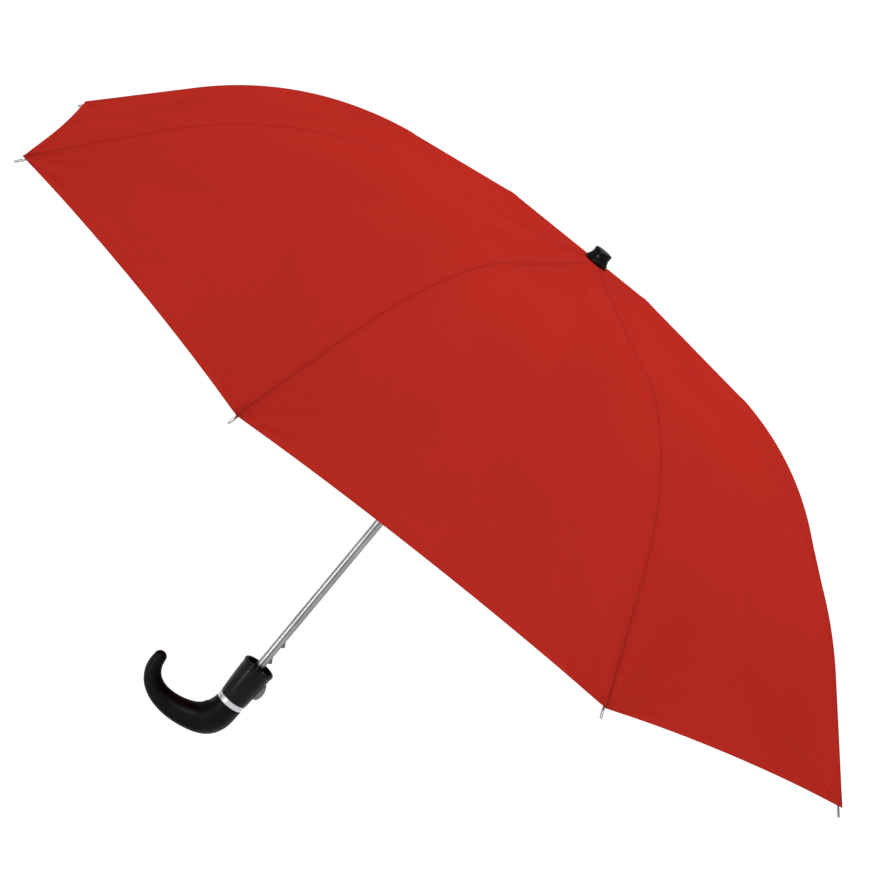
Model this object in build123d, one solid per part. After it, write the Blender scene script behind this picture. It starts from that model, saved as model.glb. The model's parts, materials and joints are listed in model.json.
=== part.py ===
from build123d import *
import os
from math import asin, cos, degrees, hypot, radians, sin, sqrt, tan

# Two-fold crook-handled umbrella, open. Millimetres.
# Origin: on the shaft axis at the handle's mouth. +Z runs up the shaft to the ferrule, +X is the way the
# crook hooks. Each rib is drawn in its own plane as (distance along the rib, height over it) and then placed.

os.makedirs("parts", exist_ok=True)

# --- driving dimensions ---------------------------------------------------------------------------------
rib_count = 8
first_rib_deg = 22.5
cover_length = 540.0           # crown to tip, along the cover over a rib
apex_z = 476.0                 # top of the cover on the axis
inner_slope_deg = 6.7          # the main rib falls this much when open
knee_kink_deg = 4.5
bend_deg = 34.4                # bend of the outer rib under the pull of the cover
knee_at = 210.6                # cover length from the axis to the knee
bend_length = 218.0            # cover length of the bent stretch
cover_over_rib = 3.9           # cover's top over the ribs' centre line
cover_thickness = 0.8
hem_rise = 5.0                 # how far the hem is hollowed between two tips

telescope_travel = 245.0
pivot_radius = 9.0             # ring wire of the crown, and pins under the runner
rib_pivot_drop = 3.93          # rib pivot under the cover
stretcher_at = 90.0            # crown pivot to stretcher rivet
stretcher_length = 120.0
knee_lift = 1.6                # knee pivot over the main rib's centre line
tie_arm = 8.0
tie_tail_deg = -146.0          # tail of the outer rib, from the main rib, when open

channel_width = 2.8
channel_depth = 2.6
sheet = 0.45                   # wall of the rib channels
stretcher_width = 4.2
stretcher_wall = 0.5
eye_width = 2.0
slot_width = 2.3
rivet_radius = 0.5
rivet_hole = 0.7
wire_radius = 0.5
wire_eye = 0.75
neck_start = 4.4               # a channel starts this far from its crown or runner pivot
rod_radius = 1.0
knuckle_radius = 1.25
tip_radius = 1.2
tip_length = 8.0

lower_radius, lower_bore = 4.2, 3.6
upper_radius, upper_bore = 3.4, 2.8
lower_bottom, lower_top = -62.0, 208.0
upper_bottom, upper_top = 193.0, 482.0
flute_count = 6
flute_radius = 1.1
flute_inset = 0.8              # cutter axis outside the tube's skin
catch_slot = 3.0
spring_radius, spring_wire, spring_turns = 1.75, 0.4, 40

collar_length = 38.4
ring_length = 5.8
mouth_radius, collar_foot_radius, ring_radius = 15.6, 13.5, 13.4
button_low, button_high = -27.0, -11.0
button_face, button_back = 18.8, 11.5
leaf_back = 3.4                # inside face of the catch leaf
runner_bore = 4.55
button_travel = 1.9
gap = 0.3

# --- rib plane ------------------------------------------------------------------------------------------
crown_pivot_z = apex_z - pivot_radius * tan(radians(inner_slope_deg)) - rib_pivot_drop
rise = sqrt(stretcher_length**2 - (stretcher_at * cos(radians(inner_slope_deg))) ** 2)
runner_pivot_z = crown_pivot_z - stretcher_at * sin(radians(inner_slope_deg)) - rise
stretcher_deg = degrees(asin(rise / stretcher_length))
foot = (pivot_radius + cover_over_rib * sin(radians(inner_slope_deg))) / cos(radians(inner_slope_deg))
knee_s = knee_at - foot
bend_radius = bend_length / radians(bend_deg)
rib_bend_radius = bend_radius - cover_over_rib
half_bend = bend_deg / 2
straight_length = cover_length - knee_at - bend_length

fold_main = 90 - inner_slope_deg
fold_stretcher = 180 - stretcher_deg - inner_slope_deg
fold_outer = 180 + knee_kink_deg


def cover_point(s, under=0.0):
    """Radius and height of the cover over a rib, s along it, or of the line that far under it."""
    a = radians(inner_slope_deg)
    if s <= knee_at:
        r, z, slope = s * cos(a), apex_z - s * sin(a), a
    else:
        r, z = knee_at * cos(a), apex_z - knee_at * sin(a)
        start = a + radians(knee_kink_deg)
        turn = min(s - knee_at, bend_length) / bend_radius
        slope = start + turn
        r += bend_radius * (sin(slope) - sin(start))
        z += bend_radius * (cos(slope) - cos(start))
        extra = max(0.0, s - knee_at - bend_length)
        r, z = r + extra * cos(slope), z - extra * sin(slope)
    return r - under * sin(slope), z - under * cos(slope)


def rib_plane(azimuth, r, z, slope_deg):
    """A plane whose X runs out along a rib falling by slope_deg, and whose Z is the rib's upper side."""
    a, fall = radians(azimuth), radians(slope_deg)
    x_dir = Vector(cos(a) * cos(fall), sin(a) * cos(fall), -sin(fall))
    side = Vector(-sin(a), cos(a), 0)
    return Plane(origin=(r * cos(a), r * sin(a), z), x_dir=x_dir, z_dir=x_dir.cross(side))


def block(x0, x1, y0, y1, z0, z1):
    return Pos((x0 + x1) / 2, (y0 + y1) / 2, (z0 + z1) / 2) * Box(x1 - x0, y1 - y0, z1 - z0)


def bar(x, z, radius, y0, y1):
    """Round bar across the rib plane, from y0 to y1."""
    return Pos(x, (y0 + y1) / 2, z) * Rot(90, 0, 0) * Cylinder(radius, y1 - y0)


def plate(points, y0, y1):
    """Flat plate of the given (x, z) outline, from y0 to y1."""
    face = Face(Wire.make_polygon([Vector(x, y0, z) for x, z in points]))
    return extrude(face, amount=y1 - y0, dir=(0, 1, 0))


def turned(*outline):
    """Body of revolution about Z from a closed (r, z) outline."""
    return revolve(make_face(Polyline(*[(r, 0, z) for r, z in outline], close=True)), Axis.Z)


def save(name, *solids):
    for solid in solids:
        solid.label = name
    whole = solids[0] if len(solids) == 1 else Compound(children=list(solids), label=name)
    export_step(whole, f"parts/{name}.step")


# --- handle ---------------------------------------------------------------------------------------------
# centre line of the crook as (x, z, radius), from the ring band round to the tip
crook_line = [
    (0.0, -44.2, 13.2), (0.5, -49.0, 13.7), (1.3, -55.0, 14.4), (3.0, -61.0, 15.2), (6.8, -67.2, 15.4),
    (12.5, -72.0, 14.4), (19.5, -75.3, 13.1), (31.0, -78.4, 12.0), (44.0, -79.3, 10.8), (56.0, -77.4, 9.8),
    (65.5, -72.4, 8.7), (71.8, -65.0, 7.7), (74.4, -57.5, 6.9), (75.0, -50.0, 6.0),
]


def handle_bore():
    return Pos(0, 0, (lower_bottom - 30) / 2) * Cylinder(lower_radius, -30 - lower_bottom)


def handle_crook():
    path = Spline(*[(x, 0, z) for x, z, _ in crook_line], tangents=[(0, 0, -1), (0.02, 0, 1)])
    sections = []
    for x, z, radius in crook_line:
        u = path.param_at_point((x, 0, z))
        sections.append(Plane(origin=path @ u, x_dir=(0, 1, 0), z_dir=path % u) * Circle(radius))
    tip = Plane(origin=path @ 1, x_dir=(0, 1, 0), z_dir=path % 1)
    dome = Sphere(crook_line[-1][2], arc_size1=0, align=(Align.CENTER, Align.CENTER, Align.MIN))
    plug = Pos(0, 0, -collar_length - ring_length / 2) * Cylinder(11, ring_length)
    solid = loft(sections) + tip * dome + plug
    return solid - handle_bore() - pin_bar()


def pin_bar():
    return Pos(0, 0, -58.5) * Rot(90, 0, 0) * Cylinder(1.25, 18)


def handle_collar():
    lip, dish = 3.0, 3.0
    body = turned(
        (lower_radius, -collar_length), (collar_foot_radius, -collar_length), (mouth_radius - 0.6, -lip - 1.2),
        (mouth_radius, -lip), (mouth_radius, -0.6), (mouth_radius - 0.6, 0), (13.1, 0), (12.4, -dish),
        (lower_radius, -dish),
    )
    pocket = block(-22, -button_back + button_travel + 0.4, -4.3, 4.3, button_low - gap, button_high + gap)
    stem_way = block(-12, -3, -1.6, 1.6, -21.3, -16.7)
    return body - pocket - stem_way


def ring_band():
    low, high = -collar_length - ring_length, -collar_length
    return turned((11, low), (ring_radius - 0.4, low), (ring_radius, low + 0.5), (ring_radius, high - 0.5),
                  (ring_radius - 0.4, high), (11, high))


def release_button():
    cap = block(-button_face, -button_back, -4, 4, button_low, button_high)
    cap = fillet(cap.edges().filter_by(Axis.X), 1.8)
    cap = fillet(cap.faces().sort_by(Axis.X)[0].edges(), 0.9)
    return cap + block(-button_back - 1, -leaf_back - 0.9, -1.3, 1.3, -21.0, -17.0)


def catch_nose(z, reach):
    """Wedge on the leaf, steep below and sloping above, so that the runner rides over it going down."""
    root = -leaf_back - 0.3
    return plate([(root, z - 3.5), (-reach, z - 1.6), (-reach, z - 0.6), (root, z + 4.5)], -1, 1)


def runner_catch():
    leaf = block(-leaf_back - 0.55, -leaf_back, -1.3, 1.3, -26, 34)
    return leaf + catch_nose(10, 6.7) + catch_nose(29, 6.5)


# --- shaft ----------------------------------------------------------------------------------------------
def fluted_tube(radius, bore, low, high):
    middle, length = (low + high) / 2, high - low
    tube = Cylinder(radius, length) - Cylinder(bore, length)
    flutes = [
        Rot(0, 0, 30 + 360 * i / flute_count) * Pos(radius + flute_inset, 0, 0) * Cylinder(flute_radius, length)
        for i in range(flute_count)
    ]
    return Pos(0, 0, middle) * (tube - flutes)


def lower_tube():
    slot = block(-6, -3, -catch_slot / 2, catch_slot / 2, -27, 35)
    return fluted_tube(lower_radius, lower_bore, lower_bottom, lower_top) - slot - pin_bar()


def upper_tube():
    slot = block(-6, -2, -catch_slot / 2, catch_slot / 2, upper_bottom - 1, upper_bottom + 88)
    return fluted_tube(upper_radius, upper_bore, upper_bottom, upper_top) - slot


def spring_seat():
    return Pos(0, 0, -58) * Cylinder(lower_bore - 0.02, 8) - pin_bar()


def top_plug():
    return Pos(0, 0, 474) * Cylinder(upper_bore - 0.02, 12)


def opening_spring():
    low, high = -53.5, 467.5
    pitch = (high - low) / spring_turns
    coil = Helix(pitch, high - low, spring_radius, center=(0, 0, low))
    return sweep(Plane(coil @ 0, z_dir=coil % 0) * Circle(spring_wire), path=coil)


# --- crown, ferrule and runner --------------------------------------------------------------------------
def rib_angles():
    return [first_rib_deg + 360 * k / rib_count for k in range(rib_count)]


def slots(inner, z0, z1):
    return [Rot(0, 0, a) * block(inner, 16, -slot_width / 2, slot_width / 2, z0, z1) for a in rib_angles()]


def crown():
    z = crown_pivot_z
    body = turned((upper_radius, z - 12), (6.0, z - 12), (6.4, z - 2.6), (11.6, z - 2.6), (11.6, z + 1.6),
                  (11.0, z + 2.4), (upper_radius, z + 2.4))
    groove = Pos(0, 0, z) * Torus(pivot_radius, wire_radius + 0.04)
    return body - slots(6.4, z - 4, z + 4) - groove


def crown_wire():
    return Pos(0, 0, crown_pivot_z) * Torus(pivot_radius, wire_radius)


def ferrule():
    return turned((upper_radius, 475.9), (10.9, 475.3), (11.2, 476), (11.1, 476.9), (9.5, 479.2), (8.7, 481.4),
                  (8.5, 483), (8.7, 485), (8.6, 486.6), (7.6, 487.6), (0, 487.6), (0, upper_top),
                  (upper_radius, upper_top))


def runner():
    z = runner_pivot_z
    barrel = turned((runner_bore, z - 14.4), (7.2, z - 14.4), (7.4, z - 13.8), (7.4, z - 7), (6.6, z - 6), (6.6, z + 0.6),
                    (11.6, z + 0.6), (11.6, z + 2.6), (11.0, z + 3.2), (runner_bore, z + 3.2))
    keyway = block(-14, -4, -catch_slot / 2, catch_slot / 2, z - 20, z + 6)
    notch = block(-14, -6.55, -3.6, 3.6, z, z + 6)
    return barrel - slots(6.6, z - 4, z + 6) - keyway - notch


# --- one rib --------------------------------------------------------------------------------------------
def channel(x0, x1, width, wall, z0, z1, web_low):
    """Open channel along X: two sides and a web at the bottom (web_low) or at the top."""
    half = width / 2
    hollow = (z0 + wall, z1 + 1) if web_low else (z0 - 1, z1 - wall)
    return block(x0, x1, -half, half, z0, z1) - block(x0 - 1, x1 + 1, wall - half, half - wall, *hollow)


def main_rib():
    half = channel_depth / 2
    end = knee_s - 2.2
    body = channel(neck_start, end, channel_width, sheet, -half, half, False)
    body += block(0, neck_start + 4, -eye_width / 2, eye_width / 2, -1.2, 1.2)
    body += bar(0, 0, 2.0, -eye_width / 2, eye_width / 2)
    tongue = [(end - 6, 1.0), (end - 6, -0.6), (end, -0.8), (knee_s + 0.3, 0.65), (knee_s, 2.6), (knee_s - 1.2, 2.3),
              (end - 0.6, 1.0)]
    body += plate(tongue, -0.5, 0.5) + bar(knee_s, knee_lift, 1.0, -0.5, 0.5)
    body -= bar(0, 0, wire_eye, -2, 2) + bar(stretcher_at, 0, rivet_hole, -2, 2)
    return body - bar(knee_s, knee_lift, rivet_hole - 0.1, -2, 2)


def stretcher():
    """Drawn folded against the main rib, from the rivet along +X to the runner."""
    half = stretcher_width / 2
    low, top = -half, 0.4
    start, end = -1.4, stretcher_length - neck_start
    body = channel(4.2, end, stretcher_width, stretcher_wall, low, top, True)
    body += block(end - 4, stretcher_length - 1, -eye_width / 2, eye_width / 2, low, 0.4)
    body += bar(stretcher_length, 0, 1.7, -eye_width / 2, eye_width / 2)
    for side in (-1, 1):
        inner, outer = side * (half - stretcher_wall), side * half
        y0, y1 = min(inner, outer), max(inner, outer)
        body += plate([(start, 0.9), (start, -0.9), (4.4, low), (4.4, top), (0.8, 1.3), (-0.8, 1.3)], y0, y1)
    body -= bar(0, 0, rivet_radius, -half - 1, half + 1)
    pin = bar(stretcher_length, 0, rivet_radius, -2.4, 2.4)
    return [body - pin, pin, bar(0, 0, rivet_radius, -half, half)]


def outer_rib():
    """Drawn from the knee pivot, X along the rib as it leaves the knee."""
    half_w, half_d = channel_width / 2, channel_depth / 2
    start_deg = degrees(2.6 / rib_bend_radius)
    end_deg = half_bend - degrees(1.6 / rib_bend_radius)
    centre_z = -knee_lift - rib_bend_radius
    outline = [(-half_w, -half_d), (-half_w, half_d), (half_w, half_d), (half_w, -half_d),
               (half_w - sheet, -half_d), (half_w - sheet, half_d - sheet), (sheet - half_w, half_d - sheet),
               (sheet - half_w, -half_d)]
    section = Face(Wire.make_polygon([Vector(0, y, -knee_lift + z) for y, z in outline]))
    bend_axis = Axis((0, 0, centre_z), (0, 1, 0))
    section = section.rotate(bend_axis, start_deg)
    body = revolve(section, bend_axis, end_deg - start_deg)
    cheek = [(-0.8, 0.7), (-0.9, -0.3), (2.0, -2.8), (6.5, -2.8), (6.5, -0.6), (3.0, -0.3), (0.6, 1.0), (-0.3, 1.0)]
    for y0, y1 in ((-1.25, -0.75), (0.75, 1.25)):
        body += plate(cheek, y0, y1)
    tail_deg = radians(tie_tail_deg + knee_kink_deg)
    tail_x, tail_z = tie_arm * cos(tail_deg), tie_arm * sin(tail_deg)
    side_x, side_z = -0.9 * sin(tail_deg), 0.9 * cos(tail_deg)
    body += bar(0, 0, 0.95, 1.25, 1.6)
    body += plate([(side_x, side_z), (tail_x + side_x, tail_z + side_z), (tail_x - side_x, tail_z - side_z),
                   (-side_x, -side_z)], 1.55, 2.05)
    body += bar(0, 0, 1.0, 1.55, 2.05) + bar(tail_x, tail_z, 1.1, 1.55, 2.05)
    knee_rivet = bar(0, 0, rivet_radius, -1.25, 2.05)
    tie_rivet = bar(tail_x, tail_z, rivet_radius, 1.55, 3.4)
    return [body - knee_rivet - tie_rivet, knee_rivet, tie_rivet]


def tie_points():
    """Tie rivet on the tail and its place on the stretcher, in the main rib's frame, when open."""
    tail = radians(tie_tail_deg)
    back = radians(-fold_stretcher)
    return ((knee_s + tie_arm * cos(tail), knee_lift + tie_arm * sin(tail)),
            (stretcher_at + tie_arm * cos(back), tie_arm * sin(back)))


def tie_link():
    """Drawn in the main rib's frame, beside the rib."""
    (x1, z1), (x0, z0) = tie_points()
    length, angle = hypot(x1 - x0, z1 - z0), degrees(asin((z1 - z0) / hypot(x1 - x0, z1 - z0)))
    body = Pos(length / 2, 2.9, 0) * Rot(0, 90, 0) * Cylinder(wire_radius, length - 1.6)
    body += bar(0, 0, 1.2, 2.4, 3.4) + bar(length, 0, 1.2, 2.4, 3.4)
    body -= bar(0, 0, rivet_hole, 2, 4) + bar(length, 0, rivet_hole, 2, 4)
    return Pos(x0, 0, z0) * Rot(0, -angle, 0) * body


def rib_end():
    """Drawn from the middle of the bend, X along the rib there."""
    bend_axis = Axis((0, 0, -rib_bend_radius), (0, 1, 0))
    section = Face(Wire.make_circle(rod_radius, Plane.YZ))
    rod = revolve(section, bend_axis, half_bend) + Sphere(knuckle_radius)
    a = radians(half_bend)
    end = Plane(origin=(rib_bend_radius * sin(a), 0, rib_bend_radius * (cos(a) - 1)),
                x_dir=(0, 1, 0), z_dir=(cos(a), 0, -sin(a)))
    rod += end * (Pos(0, 0, straight_length / 2) * Cylinder(rod_radius, straight_length))
    reach = straight_length + tip_length - tip_radius
    cap = Pos(0, 0, (straight_length + reach) / 2) * Cylinder(tip_radius, reach - straight_length)
    return [rod, end * (cap + Pos(0, 0, reach) * Sphere(tip_radius))]


# --- cover ----------------------------------------------------------------------------------------------
def gore():
    """One gore about +X: a bent band, flat across, cut by the two rib planes and by the hollow hem."""
    half = radians(180 / rib_count)
    steps = 7
    stations = [0.0, knee_at] + [knee_at + bend_length * i / steps for i in range(1, steps + 1)] + [cover_length]
    top = [cover_point(s) for s in stations]
    under = [cover_point(s, cover_thickness) for s in stations]
    outline = [(r * cos(half), z) for r, z in top + under[::-1]]
    reach = 2 * top[-1][0] * tan(half)
    band = extrude(Face(Wire.make_polygon([Vector(x, -reach / 2, z) for x, z in outline])), reach, dir=(0, 1, 0))
    far = 2 * top[-1][0]
    wedge = Face(Wire.make_polygon([Vector(0, 0, 0), Vector(far, -far * tan(half), 0), Vector(far, far * tan(half), 0)]))
    band &= extrude(wedge, 2 * apex_z, dir=(0, 0, 1))
    chord = top[-1][0] * sin(half)
    hem_radius = (chord**2 + hem_rise**2) / (2 * hem_rise)
    (r0, z0), (r1, z1) = top[-2], top[-1]
    along = Vector((r1 - r0) * cos(half), 0, z1 - z0).normalized()
    edge = Vector(r1 * cos(half), 0, z1)
    normal = along.cross(Vector(0, 1, 0))
    centre = edge + along * (hem_radius - hem_rise)
    cutter = Plane(origin=centre, x_dir=(0, 1, 0), z_dir=normal) * Cylinder(hem_radius, 60)
    return band - cutter - Pos(0, 0, apex_z) * Cylinder(upper_radius + 0.3, 20)


def canopy():
    panel = gore()
    return [Rot(0, 0, 360 * k / rib_count) * panel for k in range(rib_count)]


# --- write every sub-part -------------------------------------------------------------------------------
save("handle_crook", handle_crook())
save("handle_collar", handle_collar())
save("ring_band", ring_band())
save("handle_pin", pin_bar())
save("release_button", release_button())
save("runner_catch", runner_catch())
save("lower_tube", lower_tube())
save("spring_seat", spring_seat())
save("upper_tube", upper_tube())
save("top_plug", top_plug())
save("opening_spring", opening_spring())
save("crown", crown())
save("crown_wire", crown_wire())
save("ferrule", ferrule())
save("runner", runner())
save("canopy", *canopy())

rib_solids = {"main_rib": [main_rib()], "stretcher": stretcher(), "outer_rib": outer_rib(),
              "tie_link": [tie_link()], "rib_end": rib_end()}
bend_start = radians(inner_slope_deg + knee_kink_deg)
bend_middle = bend_start + radians(half_bend)

for number, azimuth in enumerate(rib_angles(), start=1):
    root = rib_plane(azimuth, pivot_radius, crown_pivot_z, inner_slope_deg)
    knee = root.from_local_coords(Vector(knee_s, 0, knee_lift))
    rivet = root.from_local_coords(Vector(stretcher_at, 0, 0))
    knee_r, knee_z = hypot(knee.X, knee.Y), knee.Z
    flex_r = knee_r - knee_lift * sin(bend_start) + rib_bend_radius * (sin(bend_middle) - sin(bend_start))
    flex_z = knee_z - knee_lift * cos(bend_start) + rib_bend_radius * (cos(bend_middle) - cos(bend_start))
    places = {
        "main_rib": root,
        "tie_link": root,
        "stretcher": rib_plane(azimuth, hypot(rivet.X, rivet.Y), rivet.Z, inner_slope_deg + fold_stretcher),
        "outer_rib": rib_plane(azimuth, knee_r, knee_z, inner_slope_deg + knee_kink_deg),
        "rib_end": rib_plane(azimuth, flex_r, flex_z, degrees(bend_middle)),
    }
    for name, solids in rib_solids.items():
        save(f"{name}_{number}", *[places[name] * solid for solid in solids])
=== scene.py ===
import json
import bmesh
import bpy
from math import atan2, cos, exp, hypot, pi, radians, sin
from mathutils import Matrix, Vector


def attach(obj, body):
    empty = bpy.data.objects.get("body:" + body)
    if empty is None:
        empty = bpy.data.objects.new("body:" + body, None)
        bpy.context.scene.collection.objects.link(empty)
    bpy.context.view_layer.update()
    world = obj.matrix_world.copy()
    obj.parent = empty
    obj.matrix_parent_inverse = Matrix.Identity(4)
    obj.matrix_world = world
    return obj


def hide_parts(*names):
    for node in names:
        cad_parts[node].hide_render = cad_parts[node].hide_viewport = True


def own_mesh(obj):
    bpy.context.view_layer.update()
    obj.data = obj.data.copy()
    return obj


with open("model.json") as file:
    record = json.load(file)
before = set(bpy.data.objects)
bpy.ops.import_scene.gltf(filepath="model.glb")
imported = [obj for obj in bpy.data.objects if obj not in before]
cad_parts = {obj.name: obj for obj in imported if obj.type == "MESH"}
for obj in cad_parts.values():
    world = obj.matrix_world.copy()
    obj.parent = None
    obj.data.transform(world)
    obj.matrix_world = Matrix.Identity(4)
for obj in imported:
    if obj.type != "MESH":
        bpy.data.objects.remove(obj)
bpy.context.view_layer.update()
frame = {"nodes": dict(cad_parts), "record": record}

mm = 0.001
halfGore = radians(22.5)
ribAzimuths = [radians(22.5 + 45 * k) for k in range(8)]


def showStage(words):
    print("umbrella:", words)


def addPiece(name, bm, material, body, smoothDeg=32):
    mesh = bpy.data.meshes.new(name)
    bm.to_mesh(mesh)
    bm.free()
    mesh.polygons.foreach_set("use_smooth", [True] * len(mesh.polygons))
    if smoothDeg:
        mesh.set_sharp_from_angle(angle=radians(smoothDeg))
    mesh.materials.append(material)
    piece = bpy.data.objects.new(name, mesh)
    bpy.context.scene.collection.objects.link(piece)
    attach(piece, body)
    return piece


def lathe(outline, steps=64, closed=True):
    # spins an (r, z) outline given in mm round the shaft
    bm = bmesh.new()
    verts = [bm.verts.new((r * mm, 0, z * mm)) for r, z in outline]
    pairs = list(zip(verts, verts[1:]))
    if closed:
        pairs.append((verts[-1], verts[0]))
    for a, b in pairs:
        bm.edges.new((a, b))
    bmesh.ops.spin(bm, geom=bm.verts[:] + bm.edges[:], cent=(0, 0, 0), axis=(0, 0, 1), angle=2 * pi,
                   steps=steps, use_merge=True, use_duplicate=False)
    bmesh.ops.remove_doubles(bm, verts=bm.verts[:], dist=1e-6)
    bmesh.ops.recalc_face_normals(bm, faces=bm.faces[:])
    return bm


def roundedBox(low, high, radius, segments=4):
    # a box between two corners in mm with every edge rounded
    bm = bmesh.new()
    bmesh.ops.create_cube(bm, size=1)
    size = [(b - a) * mm for a, b in zip(low, high)]
    middle = [(a + b) / 2 * mm for a, b in zip(low, high)]
    bmesh.ops.scale(bm, vec=size, verts=bm.verts[:])
    bmesh.ops.translate(bm, vec=middle, verts=bm.verts[:])
    bmesh.ops.bevel(bm, geom=bm.edges[:], offset=radius * mm, offset_type="OFFSET", segments=segments,
                    profile=0.5, affect="EDGES", material=-1)
    return bm


def rod(radius, length, sides=40):
    bm = bmesh.new()
    bmesh.ops.create_cone(bm, cap_ends=True, segments=sides, radius1=radius * mm, radius2=radius * mm,
                          depth=length * mm)
    return bm


def cutAway(bm, cutters):
    # takes the cutters out of the shape and gives back the new mesh
    def asObject(source):
        mesh = bpy.data.meshes.new("work")
        source.to_mesh(mesh)
        source.free()
        made = bpy.data.objects.new("work", mesh)
        bpy.context.scene.collection.objects.link(made)
        return made
    body = asObject(bm)
    tools = [asObject(c) for c in cutters]
    for tool in tools:
        cut = body.modifiers.new("cut", "BOOLEAN")
        cut.operation = "DIFFERENCE"
        cut.solver = "EXACT"
        cut.object = tool
    result = bpy.data.meshes.new_from_object(body.evaluated_get(bpy.context.evaluated_depsgraph_get()))
    out = bmesh.new()
    out.from_mesh(result)
    for made in tools + [body]:
        bpy.data.objects.remove(made)
    bpy.data.meshes.remove(result)
    return out


def newMaterial(name):
    material = bpy.data.materials.new(name)
    material.use_nodes = True
    nodes, links = material.node_tree.nodes, material.node_tree.links
    return material, nodes, links, nodes["Principled BSDF"]


def objectPlace(nodes, links, scale=(1, 1, 1)):
    place = nodes.new("ShaderNodeTexCoord")
    turn = nodes.new("ShaderNodeMapping")
    turn.inputs["Scale"].default_value = scale
    links.new(place.outputs["Object"], turn.inputs["Vector"])
    return turn.outputs["Vector"]


def noise(nodes, links, place, scale, detail=4.0, rough=0.55):
    made = nodes.new("ShaderNodeTexNoise")
    made.inputs["Scale"].default_value = scale
    made.inputs["Detail"].default_value = detail
    made.inputs["Roughness"].default_value = rough
    links.new(place, made.inputs["Vector"])
    return made.outputs["Fac"]


def ramp(nodes, links, value, stops):
    made = nodes.new("ShaderNodeValToRGB")
    band = made.color_ramp.elements
    while len(band) < len(stops):
        band.new(0.5)
    for item, (at, colour) in zip(band, stops):
        item.position = at
        item.color = (*colour, 1)
    links.new(value, made.inputs["Fac"])
    return made.outputs["Color"]


def maths(nodes, links, kind, a, b=None, c=None):
    made = nodes.new("ShaderNodeMath")
    made.operation = kind
    for socket, value in zip(made.inputs, (a, b, c)):
        if value is None:
            continue
        if isinstance(value, (int, float)):
            socket.default_value = value
        else:
            links.new(value, socket)
    return made.outputs[0]


def fade(nodes, links, value, rate):
    # 1 at the edge, dying away with the value
    return maths(nodes, links, "POWER", 2.718, maths(nodes, links, "MULTIPLY", value, rate))


def blend(nodes, links, factor, first, second, kind="MIX"):
    made = nodes.new("ShaderNodeMix")
    made.data_type = "RGBA"
    made.blend_type = kind
    for socket, value in zip((made.inputs[0], made.inputs[6], made.inputs[7]), (factor, first, second)):
        if isinstance(value, (float, tuple)):
            socket.default_value = value
        else:
            links.new(value, socket)
    return made.outputs[2]


def bump(nodes, links, height, strength, distance, before=None):
    made = nodes.new("ShaderNodeBump")
    made.inputs["Strength"].default_value = strength
    made.inputs["Distance"].default_value = distance
    links.new(height, made.inputs["Height"])
    if before is not None:
        links.new(before, made.inputs["Normal"])
    return made.outputs["Normal"]


def moulded(name, base, worn, roughness, grainScale, grainDepth, shine=0.15, coat=0.0):
    # moulded plastic: fine grain, faint handling marks that change the gloss
    material, nodes, links, shader = newMaterial(name)
    place = objectPlace(nodes, links)
    grain = noise(nodes, links, place, grainScale, 2.0)
    marks = noise(nodes, links, place, 38.0, 5.0, 0.65)
    links.new(ramp(nodes, links, marks, [(0.35, base), (0.75, worn)]), shader.inputs["Base Color"])
    gloss = maths(nodes, links, "MULTIPLY_ADD", marks, 0.16, roughness - 0.08)
    links.new(gloss, shader.inputs["Roughness"])
    links.new(bump(nodes, links, grain, 0.5, grainDepth), shader.inputs["Normal"])
    shader.inputs["Specular IOR Level"].default_value = shine
    shader.inputs["Coat Weight"].default_value = coat
    shader.inputs["Coat Roughness"].default_value = 0.18
    return material


def drawnSteel(name, colour, roughness, stretch, depth=2e-6):
    # drawn metal: fine lines along the piece and a little tarnish
    material, nodes, links, shader = newMaterial(name)
    lines = noise(nodes, links, objectPlace(nodes, links, stretch), 1.0, 3.0)
    tarnish = noise(nodes, links, objectPlace(nodes, links), 24.0, 5.0)
    dark = tuple(c * 0.72 for c in colour)
    links.new(ramp(nodes, links, tarnish, [(0.3, dark), (0.62, colour)]), shader.inputs["Base Color"])
    links.new(maths(nodes, links, "MULTIPLY_ADD", lines, 0.18, roughness - 0.09), shader.inputs["Roughness"])
    links.new(bump(nodes, links, lines, 0.4, depth), shader.inputs["Normal"])
    shader.inputs["Metallic"].default_value = 1.0
    return material


clothLook = {
    "colour": (0.415, 0.0218, 0.0139),
    "deep": (0.395, 0.0205, 0.0130),
    "bright": (0.440, 0.0235, 0.0150),
    # seam: the dark colour that the painted shade at the seams, stitch dents and tip creases is mixed
    # towards
    "seam": (0.220, 0.0115, 0.0080),
    "threads": 2600.0,          # threads to the metre
    "weaveDepth": 0.00005,
    "puckerDepth": 0.0006,
}


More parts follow.
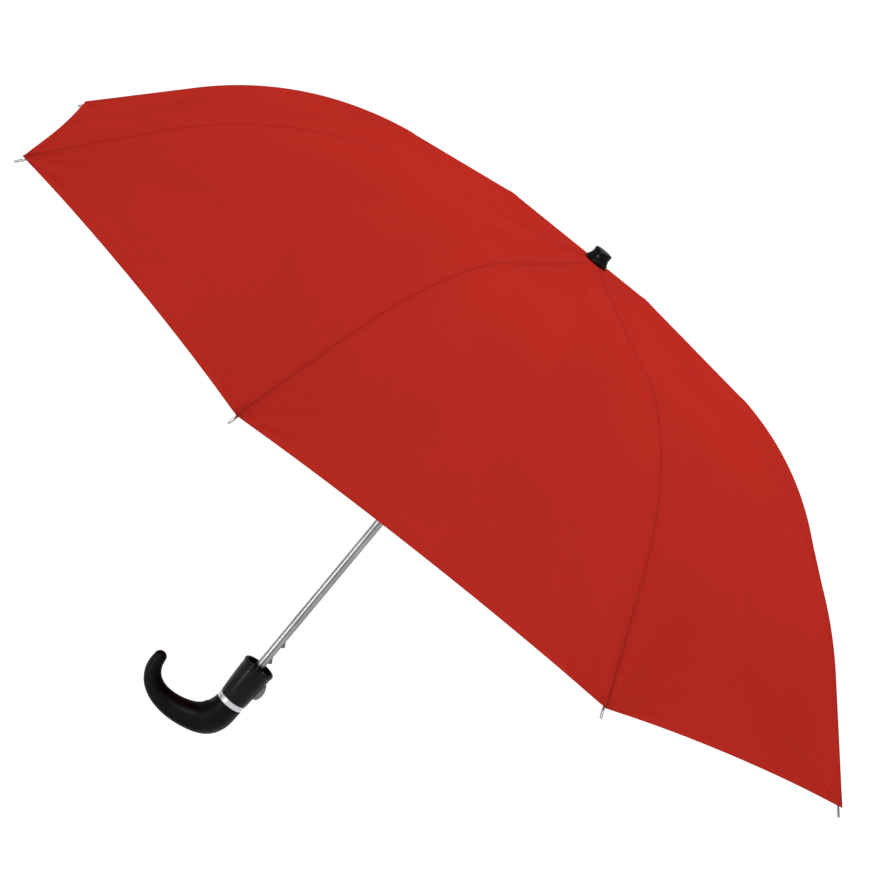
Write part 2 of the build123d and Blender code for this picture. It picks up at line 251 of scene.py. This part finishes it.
def pongee(name):
    # plain weave on the cloth's own map; map "edges" holds the distance to the hem and to the rib seam
    material, nodes, links, shader = newMaterial(name)
    weaveMap = nodes.new("ShaderNodeUVMap")
    weaveMap.uv_map = "weave"
    split = nodes.new("ShaderNodeSeparateXYZ")
    links.new(weaveMap.outputs["UV"], split.inputs[0])
    edgeMap = nodes.new("ShaderNodeUVMap")
    edgeMap.uv_map = "edges"
    edge = nodes.new("ShaderNodeSeparateXYZ")
    links.new(edgeMap.outputs["UV"], edge.inputs[0])
    fromHem, fromSeam = edge.outputs["X"], edge.outputs["Y"]
    along, across = split.outputs["X"], split.outputs["Y"]

    warp = maths(nodes, links, "SINE", maths(nodes, links, "MULTIPLY", along, clothLook["threads"] * pi))
    weft = maths(nodes, links, "SINE", maths(nodes, links, "MULTIPLY", across, clothLook["threads"] * pi))
    weave = maths(nodes, links, "MULTIPLY", warp, weft)
    slub = noise(nodes, links, weaveMap.outputs["UV"], 420.0, 3.0)

    # puckers run off the seam and the hem and die out into the panel
    stretched = nodes.new("ShaderNodeMapping")
    stretched.inputs["Scale"].default_value = (95.0, 9.0, 1.0)
    links.new(weaveMap.outputs["UV"], stretched.inputs["Vector"])
    seamPucker = noise(nodes, links, stretched.outputs["Vector"], 1.0, 2.0)
    nearSeam = fade(nodes, links, fromSeam, -48.0)
    hemStretch = nodes.new("ShaderNodeMapping")
    hemStretch.inputs["Scale"].default_value = (9.0, 80.0, 1.0)
    links.new(weaveMap.outputs["UV"], hemStretch.inputs["Vector"])
    hemPucker = noise(nodes, links, hemStretch.outputs["Vector"], 1.0, 2.0)
    nearHem = fade(nodes, links, fromHem, -42.0)
    drape = noise(nodes, links, weaveMap.outputs["UV"], 7.0, 3.0)
    puckers = maths(nodes, links, "MULTIPLY", seamPucker, nearSeam)
    puckers = maths(nodes, links, "MULTIPLY_ADD", hemPucker, nearHem, puckers)
    puckers = maths(nodes, links, "MULTIPLY_ADD", drape, 0.35, puckers)

    # creases fan out of each tip, where the whole hem hangs
    reach = nodes.new("ShaderNodeVectorMath")
    reach.operation = "LENGTH"
    links.new(edgeMap.outputs["UV"], reach.inputs[0])
    nearTip = fade(nodes, links, reach.outputs["Value"], -17.0)
    spoke = nodes.new("ShaderNodeCombineXYZ")
    links.new(maths(nodes, links, "ARCTAN2", fromSeam, maths(nodes, links, "ADD", fromHem, 0.003)),
              spoke.inputs["X"])
    links.new(maths(nodes, links, "FLOOR", maths(nodes, links, "ADD", across, 0.5)), spoke.inputs["Y"])
    spokes = noise(nodes, links, spoke.outputs[0], 6.5, 1.0)
    creases = maths(nodes, links, "MULTIPLY", spokes, nearTip)
    puckers = maths(nodes, links, "MULTIPLY_ADD", creases, 2.2, puckers)
    # painted shade: the cloth is darkened in a narrow band along the rib seam, more strongly near the tip
    seamSquare = maths(nodes, links, "MULTIPLY", fromSeam, fromSeam)
    seamShadeBand = fade(nodes, links, seamSquare, -7.0e4)
    seamShadeDepth = maths(nodes, links, "MULTIPLY_ADD", nearTip, 0.30, 0.10)
    paintedSeamShade = maths(nodes, links, "MULTIPLY", seamShadeBand, seamShadeDepth)
    # painted shade: the cloth colour is darkened along the creases that fan out of each tip
    paintedCreaseShade = maths(nodes, links, "MULTIPLY", maths(nodes, links, "SUBTRACT", 0.62, spokes), nearTip)
    paintedCreaseShade = maths(nodes, links, "MAXIMUM", maths(nodes, links, "MULTIPLY", paintedCreaseShade, 0.7), 0.0)

    # stitch lines: a dent beside the seam and one round the hem's fold; the dents are bumps and also darken
    # the colour as painted shade
    seamDent = maths(nodes, links, "COMPARE", fromSeam, 0.0, 0.0006)
    hemDent = maths(nodes, links, "COMPARE", fromHem, 0.0075, 0.0005)
    stitchDentsAndShade = maths(nodes, links, "MULTIPLY_ADD", hemDent, 0.3, seamDent)
    paintedSeamAndCreaseShade = maths(nodes, links, "ADD", paintedSeamShade, paintedCreaseShade)
    # painted shade: the stitch dents, seam band and tip creases together darken the cloth towards the seam
    # colour
    paintedShadeAmount = maths(nodes, links, "MULTIPLY_ADD", stitchDentsAndShade, 0.35, paintedSeamAndCreaseShade)

    shade = noise(nodes, links, weaveMap.outputs["UV"], 5.5, 4.0)
    colour = ramp(nodes, links, shade, [(0.25, clothLook["deep"]), (0.5, clothLook["colour"]),
                                        (0.8, clothLook["bright"])])
    colour = blend(nodes, links, paintedShadeAmount, colour, (*clothLook["seam"], 1))
    threadShade = ramp(nodes, links, slub, [(0.3, (0.82, 0.82, 0.82)), (0.7, (1, 1, 1))])
    colour = blend(nodes, links, 0.35, colour, threadShade, "MULTIPLY")
    links.new(colour, shader.inputs["Base Color"])

    normal = bump(nodes, links, puckers, 1.0, clothLook["puckerDepth"])
    normal = bump(nodes, links, maths(nodes, links, "MULTIPLY", stitchDentsAndShade, -1.0), 0.8, 0.0003, normal)
    normal = bump(nodes, links, weave, 0.5, clothLook["weaveDepth"], normal)
    links.new(normal, shader.inputs["Normal"])
    shader.inputs["Roughness"].default_value = 0.78
    shader.inputs["Specular IOR Level"].default_value = 0.0
    return material


def flutedSteel(name):
    # drawn tube with six pressed grooves, with painted shade darkening their floors
    material = drawnSteel(name, (0.33, 0.33, 0.335), 0.3, (2400, 2400, 25))
    nodes, links = material.node_tree.nodes, material.node_tree.links
    shader = nodes["Principled BSDF"]
    place = nodes.new("ShaderNodeSeparateXYZ")
    links.new(objectPlace(nodes, links), place.inputs[0])
    turn = maths(nodes, links, "ARCTAN2", place.outputs["Y"], place.outputs["X"])
    wave = maths(nodes, links, "COSINE", maths(nodes, links, "MULTIPLY", turn, 6.0))
    # painted shade: the base colour is darkened along the floor of each groove
    paintedGrooveShade = ramp(nodes, links, maths(nodes, links, "MULTIPLY", wave, -1.0),
               [(0.45, (1, 1, 1)), (0.8, (0.42, 0.42, 0.44))])
    before = shader.inputs["Base Color"].links[0].from_socket
    links.new(blend(nodes, links, 1.0, before, paintedGrooveShade, "MULTIPLY"), shader.inputs["Base Color"])
    return material


finishes = {
    "handle_plastic": moulded("handleBlack", (0.0018, 0.0018, 0.002), (0.0038, 0.0038, 0.0042), 0.4,
                              2400.0, 3e-5, 0.09),
    "collar_plastic": moulded("collarBlack", (0.0022, 0.0022, 0.0025), (0.004, 0.004, 0.0045), 0.26,
                              900.0, 2e-6, 0.08, 0.1),
    "black_plastic": moulded("nylonBlack", (0.010, 0.010, 0.011), (0.018, 0.018, 0.019), 0.5,
                             1500.0, 3e-5, 0.3),
    "ferrule_plastic": moulded("ferruleBlack", (0.0022, 0.0022, 0.0024), (0.005, 0.005, 0.0055), 0.3,
                               1300.0, 8e-6, 0.14),
    "button_metal": moulded("buttonGrey", (0.17, 0.17, 0.18), (0.24, 0.24, 0.25), 0.35, 1200.0, 8e-6, 0.4),
    "bright_metal": drawnSteel("ringMetal", (0.52, 0.52, 0.55), 0.24, (60, 60, 5200)),
    "steel": drawnSteel("platedWire", (0.42, 0.42, 0.44), 0.34, (900, 900, 900)),
    "shaft_steel": flutedSteel("drawnTube"),
    "spring_steel": drawnSteel("springSteel", (0.16, 0.16, 0.17), 0.38, (1200, 1200, 60)),
    "rib_steel": drawnSteel("ribSteel", (0.22, 0.22, 0.225), 0.42, (420, 420, 420)),
    "rod_steel": drawnSteel("rodSteel", (0.42, 0.42, 0.44), 0.34, (500, 500, 500)),
    "canopy_fabric": pongee("redPongee"),
}

slotOf = {row["node"]: row["material_slot"] for row in frame["record"]["subparts"]}
for node, piece in frame["nodes"].items():
    piece.data.materials.clear()
    piece.data.materials.append(finishes[slotOf[node]])
showStage("frame loaded and painted")


cover = {
    "length": 0.540,
    "apexZ": 0.476,
    "holeAt": 0.0039,
    "kneeAt": 0.2106,
    "bend": 0.218,
    "bendDeg": 34.4,
    "innerDeg": 6.7,
    "kinkDeg": 4.5,
    "hemRise": 0.005,
    "dip": 0.0021,              # the cloth drops off the crown onto the ribs
    "seamRise": 0.0003,
    "thickness": 0.0004,
    "acrossCells": 34,
}
flexAt = cover["kneeAt"] + cover["bend"] / 2
sections = [
    # each panel also lists a "tilt" and a "keep"; "slope" in degrees, or that of the flex point
    {"name": "inner", "body": "rib", "from": None, "to": cover["kneeAt"], "cells": 46, "tilt": -4.0,
     "keep": 0.08, "slope": cover["innerDeg"]},
    {"name": "mid", "body": "outer", "from": cover["kneeAt"], "to": flexAt, "cells": 26, "tilt": -8.0,
     "keep": 0.09, "slope": None},
    {"name": "end", "body": "end", "from": flexAt, "to": None, "cells": 50, "tilt": -8.0, "keep": 0.09,
     "slope": None},
]


def ribLine(s):
    # radius, height and slope of the cover over a rib, s along it from the middle
    inner = radians(cover["innerDeg"])
    if s <= cover["kneeAt"]:
        return s * cos(inner), cover["apexZ"] - s * sin(inner), inner
    radius = cover["bend"] / radians(cover["bendDeg"])
    start = inner + radians(cover["kinkDeg"])
    slope = start + min(s - cover["kneeAt"], cover["bend"]) / radius
    extra = max(0.0, s - cover["kneeAt"] - cover["bend"])
    r = cover["kneeAt"] * cos(inner) + radius * (sin(slope) - sin(start)) + extra * cos(slope)
    kneeZ = cover["apexZ"] - cover["kneeAt"] * sin(inner)
    z = kneeZ + radius * (cos(slope) - cos(start)) - extra * sin(slope)
    return r, z, slope


def smooth(t):
    t = min(1.0, max(0.0, t))
    return t * t * (3 - 2 * t)


def chordPoint(s, v, azimuth, side):
    # v runs from 0 on the rib to 1 in the middle of the gore, straight across
    r, z, slope = ribLine(s)
    gore = azimuth + side * halfGore
    w = v * r * sin(halfGore)
    x = r * cos(azimuth) - side * w * sin(gore)
    y = r * sin(azimuth) + side * w * cos(gore)
    return Vector((x, y, z)), w, slope, gore


def clothPoint(s, v, azimuth, side):
    point, w, slope, gore = chordPoint(s, v, azimuth, side)
    goreUp = Vector((sin(slope) * cos(gore), sin(slope) * sin(gore), cos(slope)))
    ribUp = Vector((sin(slope) * cos(azimuth), sin(slope) * sin(azimuth), cos(slope)))
    dip = smooth((s - 0.010) / 0.030) * smooth((cover["kneeAt"] - s) / 0.045)
    seamUp = exp(-((w - 0.0024) / 0.0013) ** 2) - 0.6 * exp(-(w / 0.0009) ** 2)
    point += ribUp * (cover["seamRise"] * seamUp * min(1.0, s / 0.03) - cover["dip"] * dip)
    # folds fan out of the tip, where the cloth hangs by one point
    back = cover["length"] - s
    away = hypot(back, w)
    fan = sin(11 * atan2(w, back + 0.002)) * exp(-away / 0.045) * min(1.0, away / 0.012) * v * (2 - v) * 4
    point -= goreUp * 0.0007 * fan
    return point, w


def splitAt(s0, v, azimuth, side):
    # where the plane square to the rib at s0 meets the cloth at v
    if s0 is None:
        return cover["holeAt"]
    hinge, _, slope, _ = chordPoint(s0, 0, azimuth, side)
    along = Vector((cos(slope) * cos(azimuth), cos(slope) * sin(azimuth), -sin(slope)))
    low, high = s0, s0 + 0.12
    for _ in range(30):
        middle = (low + high) / 2
        if (chordPoint(middle, v, azimuth, side)[0] - hinge).dot(along) < 0:
            low = middle
        else:
            high = middle
    return (low + high) / 2


def clothPiece(section, number, azimuth, side):
    across, along = cover["acrossCells"], section["cells"]
    bm = bmesh.new()
    bmesh.ops.create_grid(bm, x_segments=along, y_segments=across, size=0.5)
    weave = bm.loops.layers.uv.new("weave")
    edges = bm.loops.layers.uv.new("edges")
    facts = {}
    limits = {}
    for vert in bm.verts:
        u = min(1.0, max(0.0, vert.co.x + 0.5))
        v = min(1.0, max(0.0, vert.co.y + 0.5)) ** 1.7
        key = round(v, 6)
        if key not in limits:
            hemAt = cover["length"] - cover["hemRise"] * v * (2 - v)
            first = splitAt(section["from"], v, azimuth, side)
            last = hemAt if section["to"] is None else splitAt(section["to"], v, azimuth, side)
            limits[key] = (first, last, hemAt)
        first, last, hemAt = limits[key]
        s = first + (last - first) * u
        vert.co, w = clothPoint(s, v, azimuth, side)
        facts[vert] = (s, w, hemAt - s)
    for face in bm.faces:
        for loop in face.loops:
            s, w, fromHem = facts[loop.vert]
            loop[weave].uv = (s, side * w + number)
            loop[edges].uv = (fromHem, w)
    up = Vector((cos(azimuth) * 0.3, sin(azimuth) * 0.3, 1))
    bm.normal_update()
    if sum(face.normal.dot(up) for face in bm.faces) < 0:
        bmesh.ops.reverse_faces(bm, faces=bm.faces[:])
    for edge in bm.edges:
        if edge.is_boundary:
            edge.smooth = False
    area = sum(face.calc_area() for face in bm.faces)
    name = f"cloth_{section['name']}_{number}_{'left' if side > 0 else 'right'}"
    body = f"{section['body']}_{number}"
    piece = addPiece(name, bm, finishes["canopy_fabric"], body, 0)
    shell = piece.modifiers.new("cloth", "SOLIDIFY")
    shell.thickness = cover["thickness"]
    shell.offset = -1
    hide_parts("canopy")

    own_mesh(piece)
    return piece


for number, azimuth in enumerate(ribAzimuths, start=1):
    for side in (1, -1):
        for section in sections:
            clothPiece(section, number, azimuth, side)
showStage("cover sewn")


crook = {
    # centre line of the crook in mm: along the hook, height, radius
    "line": [(0.0, -44.2, 13.25), (0.1, -46.2, 13.45), (0.5, -49.5, 13.75), (1.3, -55.0, 14.4),
             (3.0, -61.0, 15.1), (6.8, -67.2, 15.3), (12.5, -72.0, 14.4), (20.5, -75.7, 13.1),
             (31.0, -78.4, 12.0), (43.0, -79.3, 10.9), (55.0, -77.6, 9.8), (65.0, -72.7, 8.8),
             (71.4, -65.4, 7.8), (74.3, -57.6, 6.9), (75.0, -50.0, 6.0)],
    "turns": 48,
    "between": 6,
    "tipSteps": 9,
    "bore": {"radius": 4.2, "length": 24, "z": -50},
    "pinHole": {"radius": 1.25, "length": 18, "z": -58.5},
}


def between(a, b, c, d, t):
    # smooth curve from b to c through four neighbours
    return tuple(0.5 * (2 * q + (r - p) * t + (2 * p - 5 * q + 4 * r - s) * t * t
                        + (3 * q - p - 3 * r + s) * t ** 3)
                 for p, q, r, s in zip(a, b, c, d))


def crookStations():
    points = crook["line"]
    padded = [tuple(2 * a - b for a, b in zip(points[0], points[1]))] + points
    padded.append(tuple(2 * a - b for a, b in zip(points[-1], points[-2])))
    stations = []
    for k in range(len(points) - 1):
        for step in range(crook["between"]):
            stations.append(between(*padded[k:k + 4], step / crook["between"]))
    stations.append(points[-1])
    return stations


def makeCrook():
    stations = crookStations()
    rings = []
    for k, (x, z, radius) in enumerate(stations):
        before, after = stations[max(0, k - 1)], stations[min(len(stations) - 1, k + 1)]
        way = Vector((after[0] - before[0], 0, after[1] - before[1])).normalized()
        rings.append((Vector((x, 0, z)), way, radius))
    rings[0] = (rings[0][0], Vector((0, 0, -1)), rings[0][2])
    centre, way, radius = rings[-1]
    for k in range(1, crook["tipSteps"]):              # the rounded tip
        a = radians(90 * k / crook["tipSteps"])
        rings.append((centre + way * radius * sin(a), way, radius * cos(a)))
    bm = bmesh.new()
    first = bmesh.ops.create_circle(bm, cap_ends=False, radius=1, segments=crook["turns"])["verts"]
    flat = [vert.co.copy() for vert in first]
    loop = list(bm.edges)

    def shape(verts, ring):
        at, facing, size = ring
        turn = facing.to_track_quat("Z", "Y")
        for vert, start in zip(verts, flat):
            vert.co = (at + turn @ (start * size)) * mm

    shape(first, rings[0])
    verts = first
    for ring in rings[1:]:
        made = bmesh.ops.extrude_edge_only(bm, edges=loop)["geom"]
        fresh = [g for g in made if isinstance(g, bmesh.types.BMVert)]
        loop = [g for g in made if isinstance(g, bmesh.types.BMEdge) and all(v in fresh for v in g.verts)]
        partner = {}
        for vert in fresh:
            for edge in vert.link_edges:
                other = edge.other_vert(vert)
                if other in verts:
                    partner[other] = vert
        verts = [partner[vert] for vert in verts]
        shape(verts, ring)
    bmesh.ops.contextual_create(bm, geom=loop)
    bmesh.ops.contextual_create(bm, geom=[e for e in bm.edges if e.is_boundary])
    bmesh.ops.recalc_face_normals(bm, faces=bm.faces[:])
    bore = rod(crook["bore"]["radius"], crook["bore"]["length"])     # the shaft runs down into the crook
    bmesh.ops.translate(bore, verts=bore.verts[:], vec=(0, 0, crook["bore"]["z"] * mm))
    pinHole = rod(crook["pinHole"]["radius"], crook["pinHole"]["length"])
    bmesh.ops.rotate(pinHole, verts=pinHole.verts[:], matrix=Matrix.Rotation(pi / 2, 3, "X"))
    bmesh.ops.translate(pinHole, verts=pinHole.verts[:], vec=(0, 0, crook["pinHole"]["z"] * mm))
    bm = cutAway(bm, [bore, pinHole])
    piece = addPiece("crook", bm, finishes["handle_plastic"], "grip", 50)
    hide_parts("handle_crook")


collar = {
    # half section in mm: radius, height
    "outline": [(4.35, -3.0), (12.2, -3.0), (12.6, -2.6), (12.9, -0.8), (13.4, -0.2), (14.1, 0.0),
                (15.0, -0.1), (15.45, -0.5), (15.6, -1.2), (15.6, -2.8), (15.5, -3.3), (15.25, -3.7),
                (15.15, -4.3), (15.15, -6.0), (14.95, -14.0), (14.45, -25.0), (13.95, -33.0), (13.6, -37.2),
                (13.5, -38.0), (13.1, -38.4), (4.35, -38.4)],
    "pocketLow": (-22, -4.35, -27.35),
    "pocketHigh": (-9.0, 4.35, -10.65),
    "pocketRound": 0.4,
}


def makeCollar():
    pocket = roundedBox(collar["pocketLow"], collar["pocketHigh"], collar["pocketRound"], 3)
    body = cutAway(lathe(collar["outline"], 96), [pocket])
    piece = addPiece("collar", body, finishes["collar_plastic"], "grip", 28)
    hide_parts("handle_collar")


ringBand = {
    "outline": [(11.0, -44.2), (12.9, -44.2), (13.25, -44.0), (13.35, -43.6), (13.4, -42.8), (13.48, -41.3),
                (13.4, -39.8), (13.35, -39.0), (13.25, -38.6), (12.9, -38.4), (11.0, -38.4)],
}


def makeRingBand():
    band = lathe(ringBand["outline"], 96)
    piece = addPiece("ringBand", band, finishes["bright_metal"], "grip", 40)
    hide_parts("ring_band")


pushButton = {
    # side view of the thumb piece in mm: outwards, height; drawn out across the collar
    "side": [(-11.5, -11.0), (-15.9, -11.0), (-17.2, -12.6), (-18.4, -15.8), (-18.8, -19.0), (-18.4, -22.4),
             (-17.2, -25.4), (-15.9, -27.0), (-11.5, -27.0)],
    "width": 8,
    "edgeRound": 0.9,
    "grooveHeights": (-22.6, -20.2, -17.8, -15.4),     # grip lines across the face
    "grooveRadius": 0.5,
    "faceX": -19.0,
    "faceMiddle": -19.0,
    "faceCurve": 0.07,                                 # how fast the grooves follow the domed face inwards
    "stemLow": (-12.0, -1.3, -21.0),
    "stemHigh": (-4.3, 1.3, -17.0),
}


def makeButton():
    width = pushButton["width"]
    cap = bmesh.new()
    face = cap.faces.new([cap.verts.new((x * mm, -width / 2 * mm, z * mm)) for x, z in pushButton["side"]])
    made = bmesh.ops.extrude_face_region(cap, geom=[face])["geom"]
    drawnOut = [g for g in made if isinstance(g, bmesh.types.BMVert)]
    bmesh.ops.translate(cap, vec=(0, width * mm, 0), verts=drawnOut)
    bmesh.ops.recalc_face_normals(cap, faces=cap.faces[:])
    rims = [e for e in cap.edges if abs(e.verts[0].co.y - e.verts[1].co.y) < 1e-6]
    bmesh.ops.bevel(cap, geom=rims, offset=pushButton["edgeRound"] * mm, offset_type="OFFSET", segments=4,
                    profile=0.5, affect="EDGES", material=-1)
    grooves = []
    for z in pushButton["grooveHeights"]:
        inwards = abs(z - pushButton["faceMiddle"]) ** 1.5 * pushButton["faceCurve"]
        groove = rod(pushButton["grooveRadius"], 10, 20)
        bmesh.ops.rotate(groove, verts=groove.verts[:], matrix=Matrix.Rotation(pi / 2, 3, "X"))
        place = ((pushButton["faceX"] + inwards) * mm, 0, z * mm)
        bmesh.ops.translate(groove, verts=groove.verts[:], vec=place)
        grooves.append(groove)
    cap = cutAway(cap, grooves)
    piece = addPiece("pushButton", cap, finishes["button_metal"], "button", 30)
    stem = roundedBox(pushButton["stemLow"], pushButton["stemHigh"], 0.2, 2)
    under = addPiece("buttonStem", stem, finishes["button_metal"], "button", 30)
    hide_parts("release_button")
    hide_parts("release_button")


makeCrook()
makeCollar()
makeRingBand()
makeButton()
showStage("handle made")


ferrule = {
    "outline": [(0.0, 482.0), (3.42, 482.0), (3.42, 475.95), (10.5, 475.35), (11.0, 475.5), (11.22, 475.9),
                (11.2, 476.6), (10.8, 477.4), (9.9, 478.7), (9.15, 480.2), (8.7, 481.9), (8.55, 483.5),
                (8.65, 485.1), (8.72, 486.1), (8.55, 486.8), (8.05, 487.3), (7.2, 487.55), (6.2, 487.6),
                (0.0, 487.6)],
}


def makeFerrule():
    cap = lathe(ferrule["outline"], 80, closed=False)
    piece = addPiece("ferruleCap", cap, finishes["ferrule_plastic"], "shaft", 40)
    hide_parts("ferrule")


spring = {
    "low": -53.5,
    "high": 467.5,
    "coilRadius": 1.05,         # small enough to clear the pushed catch
    "wireRadius": 0.4,
    "turns": 40,
    "stepsPerTurn": 18,
    "travel": 245,              # how much the shaft telescopes
}


def makeSpring():
    # the long opening spring inside the tubes
    low, high, turns = spring["low"] * mm, spring["high"] * mm, spring["turns"]
    steps = turns * spring["stepsPerTurn"]
    bm = bmesh.new()
    wire = bmesh.ops.create_circle(bm, cap_ends=False, radius=spring["wireRadius"] * mm, segments=8)["verts"]
    bmesh.ops.rotate(bm, verts=wire, matrix=Matrix.Rotation(pi / 2, 3, "X"))
    bmesh.ops.translate(bm, verts=wire, vec=(spring["coilRadius"] * mm, 0, low))
    bmesh.ops.spin(bm, geom=bm.verts[:] + bm.edges[:], cent=(0, 0, 0), axis=(0, 0, 1), angle=2 * pi * turns,
                   dvec=(0, 0, (high - low) / steps), steps=steps, use_merge=False, use_duplicate=False)
    bmesh.ops.holes_fill(bm, edges=[e for e in bm.edges if e.is_boundary], sides=8)
    bmesh.ops.recalc_face_normals(bm, faces=bm.faces[:])
    piece = addPiece("springCoil", bm, finishes["spring_steel"], "shaft", 50)
    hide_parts("opening_spring")
    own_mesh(piece)


makeFerrule()
makeSpring()
showStage("ferrule and spring made")


studio = {
    "floorZ": -0.7,
    "skyLevel": 0.34,
    "overheadPower": 0.92 * pi,
    "overheadSpread": 50,
    "stripAt": (1.09, 1.05, -0.31),
    "panelAt": (0.9, 1.7, 1.0),
}


def paleFloor():
    bm = bmesh.new()
    bmesh.ops.create_grid(bm, x_segments=1, y_segments=1, size=60)
    bmesh.ops.translate(bm, vec=(0, 0, studio["floorZ"]), verts=bm.verts[:])
    mesh = bpy.data.meshes.new("floor")
    bm.to_mesh(mesh)
    bm.free()
    floor = bpy.data.objects.new("floor", mesh)
    bpy.context.scene.collection.objects.link(floor)
    material, _, _, shader = newMaterial("paleFloor")
    shader.inputs["Base Color"].default_value = (0.93, 0.93, 0.93, 1)
    shader.inputs["Roughness"].default_value = 0.9
    mesh.materials.append(material)


def lampAt(name, data, place, aim):
    lamp = bpy.data.objects.new(name, data)
    lamp.location = place
    lamp.rotation_mode = "QUATERNION"
    lamp.rotation_quaternion = (Vector(aim) - Vector(place)).to_track_quat("-Z", "Y")
    bpy.context.scene.collection.objects.link(lamp)
    return lamp


def softBox(name, place, aim, wide, tall, radiance):
    # seen only in glossy reflections, so it draws highlights and lights nothing else
    data = bpy.data.lights.new(name, "AREA")
    data.shape = "RECTANGLE"
    data.size, data.size_y = wide, tall
    data.energy = pi * wide * tall * radiance
    lamp = lampAt(name, data, place, aim)
    lamp.visible_diffuse = False
    lamp.visible_camera = False


def setLight():
    world = bpy.data.worlds.new("studio")
    bpy.context.scene.world = world
    world.use_nodes = True
    backdrop = world.node_tree.nodes["Background"]
    backdrop.inputs["Color"].default_value = (1, 1, 1, 1)
    backdrop.inputs["Strength"].default_value = studio["skyLevel"]
    sky = bpy.data.lights.new("overhead", "SUN")
    sky.energy = studio["overheadPower"]
    sky.angle = radians(studio["overheadSpread"])
    lampAt("overhead", sky, (0.1, 0.1, 3.0), (0, 0, 0))
    softBox("strip", studio["stripAt"], (0, 0, -0.02), 0.12, 0.5, 20)
    softBox("panel", studio["panelAt"], (0, 0, 0), 0.7, 0.7, 12)
    bpy.context.scene.view_settings.view_transform = "Standard"


camera = {
    "place": (0.3240, 3.1422, 0.8953),
    "target": (0.0155, 0.0390, 0.2736),
    "rollDeg": 39.68,
    "lens": 150.76,
}


def setCamera():
    data = bpy.data.cameras.new("view")
    data.lens = camera["lens"]
    data.sensor_width = 36
    eye = bpy.data.objects.new("view", data)
    eye.location = camera["place"]
    look = Vector(camera["target"]) - Vector(camera["place"])
    eye.rotation_mode = "QUATERNION"
    roll = Matrix.Rotation(radians(camera["rollDeg"]), 3, "Z").to_quaternion()
    eye.rotation_quaternion = look.to_track_quat("-Z", "Y") @ roll
    bpy.context.scene.collection.objects.link(eye)
    bpy.context.scene.camera = eye


paleFloor()
setLight()
setCamera()
showStage("studio ready")
